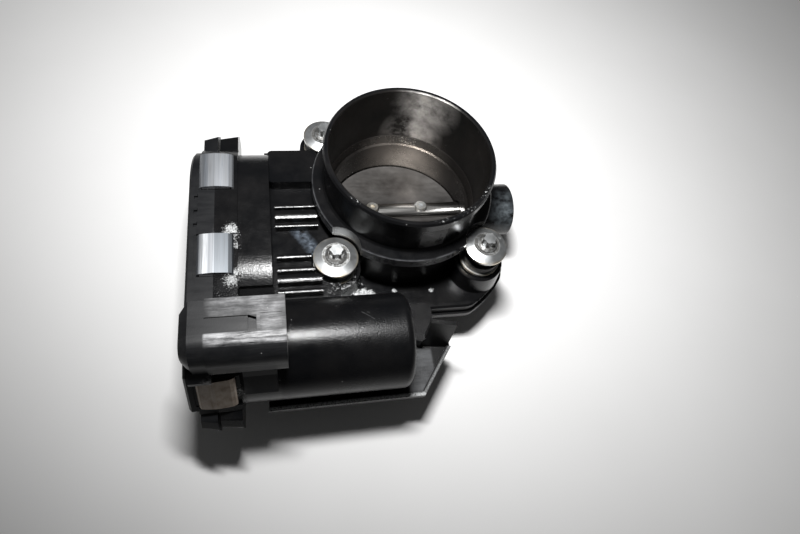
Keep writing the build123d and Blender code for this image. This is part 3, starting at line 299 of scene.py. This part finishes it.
def black_casting():
    """Black coat on a die casting: grained gloss with all its stains, wear, salt and dust, and painted
    highlights.
    """
    m = Nodes("black_casting")
    colour = m.mix(m.patches(0.35, 0.7, 60.0, 5.0), BLACK, SOOT)
    colour, coat_rough, metal, inside, smoke = bore_smoke_and_sheen(m, colour)
    colour, wear_rough = outer_wear_and_highlights(m, colour, inside)
    colour, salt, pale = salt_scratches_and_highlights(m, colour)
    tray_end = m.all_of(m.band(m.x, -5.0, 7.0, 0.5), m.band(m.y, -83.3, -65.0, 0.5),
                        m.band(m.z, 1.5, 4.0, 0.3), m.patches(0.25, 0.6, 300.0, 4.0, 0.6, (0.2, 1.0, 1.0)))
    colour = dusted(m, m.mix(tray_end, colour, TRAY_GREY))
    haze = m.all_of(m.near(*SHAFT_BOSS_HAZE), m.patches(0.36, 0.64, 240.0, 5.0))
    colour = m.mix(haze, colour, HAZE_BLUE)

    motor_tube = m.all_of(m.step(m.y, -46.0, -48.0), m.step(m.x, -55.0, -54.0))
    rough = m.ramp(m.noise(240.0, 4.0), 0.3, 0.75, 0.17, 0.27)
    rough = m.math("ADD", rough, m.all_of(motor_tube, m.step(m.x, -45.0, -5.0, 0.0, 0.13)))
    rough = m.math("ADD", rough, m.all_of(inside, smoke, 0.10))
    rough = m.any_of(rough, m.all_of(salt, 0.8), wear_rough, m.all_of(haze, 0.55), coat_rough)
    grain = m.bump(m.noise(1900.0, 2.0, 0.6), 0.72, 0.00010)
    grain = m.bump(m.noise(330.0, 4.0), 0.10, 0.0002, grain)
    m.set(Base_Color=colour, Roughness=rough, Metallic=metal,
          Specular_IOR_Level=m.math("SUBTRACT", 0.32, m.all_of(motor_tube, 0.10)),
          Normal=m.bump(pale, 0.5, 0.0001, grain))
    return m.material


# ---- the gear cover -----------------------------------------------------------------------------------
NYLON_BLACK, NYLON_SOOT = (0.0055, 0.0058, 0.0068), (0.0095, 0.0098, 0.0106)
SCUFF_AND_SHEEN_GREY, EAR_GREY, COVER_SALT = (0.48, 0.48, 0.49), (0.12, 0.12, 0.12), (0.42, 0.42, 0.41)
SHROUD_RUBS = (((-58, -62, 54), 8), ((-69, -61, 54), 8), ((-57, -68, 54), 6))
COVER_SALT_SPOTS = (((-68.5, -24, 35), 9), ((-68.5, -47, 35), 8), ((-74, -84, 36), 7))
NEAR_EARS = (-72, -90, 33), 11


def cover_plastic():
    """Grained black nylon, scuffed along X where the plug slides on, with a painted highlight on the shroud's
    top-front edge.
    """
    m = Nodes("black_plastic")
    colour = m.mix(m.patches(0.42, 0.66, 95.0, 6.0, 0.65), NYLON_BLACK, NYLON_SOOT)
    shroud = m.all_of(m.step(m.z, 43.0, 49.5), m.step(m.y, -57.0, -58.5))
    # Along the shroud's top-front edge the scuffs are brightened into a painted highlight.
    edge = m.all_of(shroud, m.band(m.y, -75.2, -71.4, 0.5), m.step(m.x, -77.0, -76.2))
    top = m.all_of(shroud, m.near_any(SHROUD_RUBS))
    groove = m.all_of(shroud, m.band(m.y, -71.2, -65.9, 0.1), m.step(m.x, -60.6, -60.8))
    scuffs_and_sheen = m.math("ADD", m.all_of(shroud, 0.02), m.any_of(m.all_of(edge, 1.2), m.all_of(top, 0.9)))
    streaks = m.patches(0.36, 0.60, 900.0, 6.0, 0.75, (0.10, 1.0, 1.0))
    uneven = m.ramp(m.patches(0.36, 0.62, 150.0, 4.0, 0.6), 0.0, 1.0, 0.35, 1.0)
    colour = m.mix(m.all_of(scuffs_and_sheen, streaks, uneven, m.rest_of(groove)), colour, SCUFF_AND_SHEEN_GREY)
    ears = m.all_of(m.near(*NEAR_EARS), m.patches(0.32, 0.60, 500.0, 5.0, 0.65))
    colour = dusted(m, m.mix(m.all_of(ears, 0.9), colour, EAR_GREY))
    salt = m.all_of(m.near_any(COVER_SALT_SPOTS), m.patches(0.46, 0.58, 1300.0, 5.0, 0.7))
    colour = m.mix(m.all_of(salt, 0.8), colour, COVER_SALT)
    scuff = m.noise(420.0, 6.0, 0.7, (0.18, 1.0, 1.0))
    grain = m.bump(m.noise(2600.0, 2.0), 0.22, 0.00008)
    m.set(Base_Color=colour, Roughness=m.ramp(scuff, 0.35, 0.65, 0.34, 0.46),
          Normal=m.bump(scuff, 0.10, 0.0001, grain), Specular_IOR_Level=0.26)
    return m.material


# ---- metals -------------------------------------------------------------------------------------------
def steel(name, colour, rough_low, rough_high, stretch, tint=None, patch=40.0):
    """A metal with a directional finish: streaks along one axis, cloudy colour."""
    m = Nodes(name)
    streak = m.noise(900.0, 4.0, 0.6, stretch)
    m.set(Base_Color=m.mix(m.patches(0.35, 0.7, patch, 5.0), colour, tint or tuple(0.82 * c for c in colour)),
          Metallic=1.0, Roughness=m.ramp(streak, 0.3, 0.7, rough_low, rough_high),
          Normal=m.bump(streak, 0.08, 0.00006))
    return m.material


STRIP_BRIGHT, STRIP_DARK = (0.76, 0.78, 0.81), (0.26, 0.28, 0.31)
# Painted shade and a painted highlight on the strip.
STRIP_PAINTED_SHADE, STRIP_PAINTED_HIGHLIGHT = (0.15, 0.165, 0.18), (0.93, 0.95, 0.98)
TARNISH, DEEP_TARNISH = (0.36, 0.31, 0.26), (0.22, 0.17, 0.13)


def clip_steel():
    """Rolled spring strip, faintly streaked along its length, with painted reflection stripes.

    Towards the motor a painted highlight lies over the cover and painted shade over the housing.
    Under the connector it is tarnished brown.
    """
    m = Nodes("spring_steel")
    streak = m.noise(1500.0, 3.0, 0.6, (1.0, 0.04, 0.04))
    # Painted reflections: broad stripes across the strip.
    painted_reflection_stripes = m.noise(1.0, 3.0, 0.5, (330.0, 6.0, 6.0))
    motor_side = m.step(m.y, -20.0, -26.0)
    tarnish = m.step(m.y, -60.0, -76.0)
    # Brushed streaks together with painted reflection stripes.
    colour = m.mix(m.ramp(m.math("ADD", streak, painted_reflection_stripes), 0.75, 1.20), STRIP_BRIGHT, STRIP_DARK)
    # Towards the motor: painted shade over the housing, a painted highlight over the cover.
    colour = m.mix(m.all_of(m.step(m.x, -76.6, -75.8), motor_side, 0.85), colour, STRIP_PAINTED_SHADE)
    colour = m.mix(m.all_of(m.band(m.x, -80.8, -78.2, 0.5), motor_side), colour, STRIP_PAINTED_HIGHLIGHT)
    blotches = m.mix(m.patches(0.38, 0.66, 260.0, 5.0, 0.65), TARNISH, DEEP_TARNISH)
    colour = m.mix(m.all_of(tarnish, 0.9), colour, blotches)
    rough = m.math("ADD", m.ramp(streak, 0.3, 0.7, 0.36, 0.50), m.all_of(tarnish, 0.06))
    m.set(Base_Color=colour, Metallic=1.0, Roughness=rough, Normal=m.bump(streak, 0.10, 0.00005))
    return m.material


SCREW_AT = 31.3
ZINC, DULL_ZINC = (0.66, 0.68, 0.69), (0.46, 0.47, 0.47)
STRAW, SCREW_DIRT, ZINC_BLOOM = (0.62, 0.52, 0.36), (0.070, 0.066, 0.060), (0.70, 0.70, 0.68)


def zinc_steel():
    """Zinc plating: straw-coloured washer rims, blotched white corrosion, dirt round the screws' heads."""
    m = Nodes("zinc_steel")
    folded = m.vector("SUBTRACT", m.vector("ABSOLUTE", m.vector("MULTIPLY", m.coords, (1.0, 1.0, 0.0))),
                      (SCREW_AT * MM, SCREW_AT * MM, 0.0))
    radius = m.vector("LENGTH", folded)
    colour = m.mix(m.patches(0.36, 0.66, 190.0, 6.0, 0.65), ZINC, DULL_ZINC)
    rim = m.all_of(m.step(radius, 8.0, 8.9), m.patches(0.35, 0.6, 120.0))
    colour = m.mix(m.all_of(rim, 0.8), colour, STRAW)
    dirt = m.all_of(m.band(radius, 2.4, 5.6, 0.3), m.patches(0.26, 0.50, 800.0, 5.0, 0.7))
    colour = m.mix(m.all_of(dirt, 0.9), colour, SCREW_DIRT)
    bloom = m.all_of(m.patches(0.60, 0.70, 520.0, 6.0, 0.7), m.step(radius, 5.6, 6.2), 0.6)
    colour = m.mix(bloom, colour, ZINC_BLOOM)
    rough = m.math("ADD", m.ramp(m.noise(300.0, 5.0), 0.3, 0.7, 0.30, 0.42), m.all_of(dirt, 0.25))
    m.set(Base_Color=colour, Metallic=m.ramp(bloom, 0.0, 0.6, 0.95, 0.5), Roughness=rough,
          Normal=m.bump(m.noise(1100.0, 4.0), 0.14, 0.00006))
    return m.material


PLATE_GREY, PLATE_STAIN = (0.170, 0.162, 0.154), (0.070, 0.064, 0.060)
PLATE_RIM, PLATE_SMOKE = (0.22, 0.212, 0.204), (0.040, 0.039, 0.039)


def plate_alloy():
    """Stained plate: brown-grey, smoked towards the shaft, with a paler rim rubbed clean."""
    m = Nodes("plate_alloy")
    near_shaft = m.step(m.math("ABSOLUTE", m.y), 15.0, 4.0)
    colour = m.mix(m.patches(0.34, 0.68, 75.0, 7.0, 0.6), PLATE_GREY, PLATE_STAIN)
    colour = m.mix(m.all_of(m.step(m.bore_radius(), 21.0, 29.5), 0.4), colour, PLATE_RIM)
    colour = m.mix(m.all_of(near_shaft, 0.65), colour, PLATE_SMOKE)
    streak = m.noise(500.0, 5.0, 0.65, (0.3, 1.0, 1.0))
    m.set(Base_Color=colour, Metallic=0.8, Roughness=m.ramp(streak, 0.3, 0.7, 0.36, 0.54),
          Normal=m.bump(streak, 0.12, 0.0001))
    return m.material


# ---- rubber and plain mouldings -----------------------------------------------------------------------
def rubber():
    m = Nodes("seal_rubber")
    m.set(Base_Color=m.mix(m.patches(0.4, 0.7, 180.0), (0.008, 0.008, 0.008), (0.018, 0.017, 0.016)),
          Roughness=m.ramp(m.noise(300.0), 0.3, 0.7, 0.42, 0.6),
          Normal=m.bump(m.noise(1500.0, 3.0), 0.2, 0.0001))
    return m.material


def moulded(name, colour, rough=0.45):
    """Plastic, card or sintered material with a faint grain."""
    m = Nodes(name)
    m.set(Base_Color=m.mix(m.patches(0.35, 0.7, 120.0), colour, tuple(0.8 * c for c in colour)),
          Roughness=m.ramp(m.noise(260.0), 0.3, 0.7, rough - 0.07, rough + 0.08),
          Normal=m.bump(m.noise(1800.0, 3.0), 0.12, 0.00008))
    return m.material


# ---- which material goes where ------------------------------------------------------------------------
ALL_WAYS = (1.0, 1.0, 1.0)
ALONG_X = (0.04, 1.0, 1.0)
MATERIALS = {
    "black_casting": black_casting(),
    "black_plastic": cover_plastic(),
    "seal_rubber": rubber(),
    "spring_steel": clip_steel(),
    "zinc_steel": zinc_steel(),
    "polished_steel": steel("polished_steel", (0.60, 0.59, 0.57), 0.14, 0.26, ALONG_X),
    "plate_alloy": plate_alloy(),
    "bearing_bronze": steel("bearing_bronze", (0.60, 0.42, 0.22), 0.25, 0.4, ALL_WAYS),
    "bright_alloy": steel("bright_alloy", (0.50, 0.51, 0.52), 0.34, 0.5, ALL_WAYS, (0.30, 0.31, 0.32), 120.0),
    "gear_nylon": moulded("gear_nylon", (0.68, 0.65, 0.57)),
    "dark_nylon": moulded("dark_nylon", (0.035, 0.035, 0.038)),
    "magnet": moulded("magnet", (0.06, 0.06, 0.065), 0.5),
    "laminations": steel("laminations", (0.34, 0.33, 0.32), 0.35, 0.5, (1.0, 0.03, 0.03)),
    "copper": steel("copper", (0.80, 0.42, 0.27), 0.2, 0.34, ALONG_X),
    "carbon": moulded("carbon", (0.03, 0.03, 0.03), 0.6),
    "board": moulded("board", (0.03, 0.16, 0.07), 0.32),
    "tin": steel("tin", (0.66, 0.65, 0.62), 0.22, 0.36, ALL_WAYS),
}

node_slots = {entry["node"]: entry["material_slot"] for entry in frame["record"]["subparts"]}
for node_name, obj in frame["nodes"].items():
    for slot in obj.material_slots:
        slot.material = MATERIALS[node_slots[node_name]]

# ---- floor and light ----------------------------------------------------------------------------------
FLOOR_SIZE = 3.0
FLASH_AT, FLASH_AIM = (-44, -29, 271), (139, 267, -25)
FLASH_SIZE, FLASH_POWER, FLASH_SPREAD = (56, 34), 1.9, math.radians(165)
WORLD_STRENGTH = 0.05
floor_z = cad_low[2] - 0.0002


def build_floor():
    """A pale, faintly grained sheet."""
    mesh = bpy.data.meshes.new("floor")
    half = FLOOR_SIZE / 2
    corners = [(x, y, floor_z) for x, y in ((-half, -half), (half, -half), (half, half), (-half, half))]
    mesh.from_pydata(corners, [], [(0, 1, 2, 3)])
    floor = bpy.data.objects.new("floor", mesh)
    bpy.context.scene.collection.objects.link(floor)
    m = Nodes("pale_floor")
    base = m.mix(m.patches(0.35, 0.7, 9.0, 4.0), (0.755, 0.752, 0.747), (0.785, 0.782, 0.778))
    m.set(Base_Color=base, Roughness=0.7, Normal=m.bump(m.noise(700.0, 3.0), 0.1, 0.0001))
    mesh.materials.append(m.material)


def build_flash():
    """One overhead flash, turned away so that its light thins out towards the near side."""
    data = bpy.data.lights.new("flash", "AREA")
    data.shape = "RECTANGLE"
    data.size, data.size_y = (side * MM for side in FLASH_SIZE)
    data.energy = FLASH_POWER
    data.spread = FLASH_SPREAD
    light = bpy.data.objects.new("flash", data)
    light.location = Vector(FLASH_AT) * MM
    light.rotation_euler = (Vector(FLASH_AIM) - Vector(FLASH_AT)).to_track_quat("-Z", "Y").to_euler()
    bpy.context.scene.collection.objects.link(light)


build_floor()
build_flash()

world = bpy.data.worlds.new("studio")
world.use_nodes = True
world.node_tree.nodes["Background"].inputs["Color"].default_value = (1.0, 1.0, 1.0, 1.0)
world.node_tree.nodes["Background"].inputs["Strength"].default_value = WORLD_STRENGTH
bpy.context.scene.world = world
bpy.context.scene.view_settings.view_transform = "Standard"
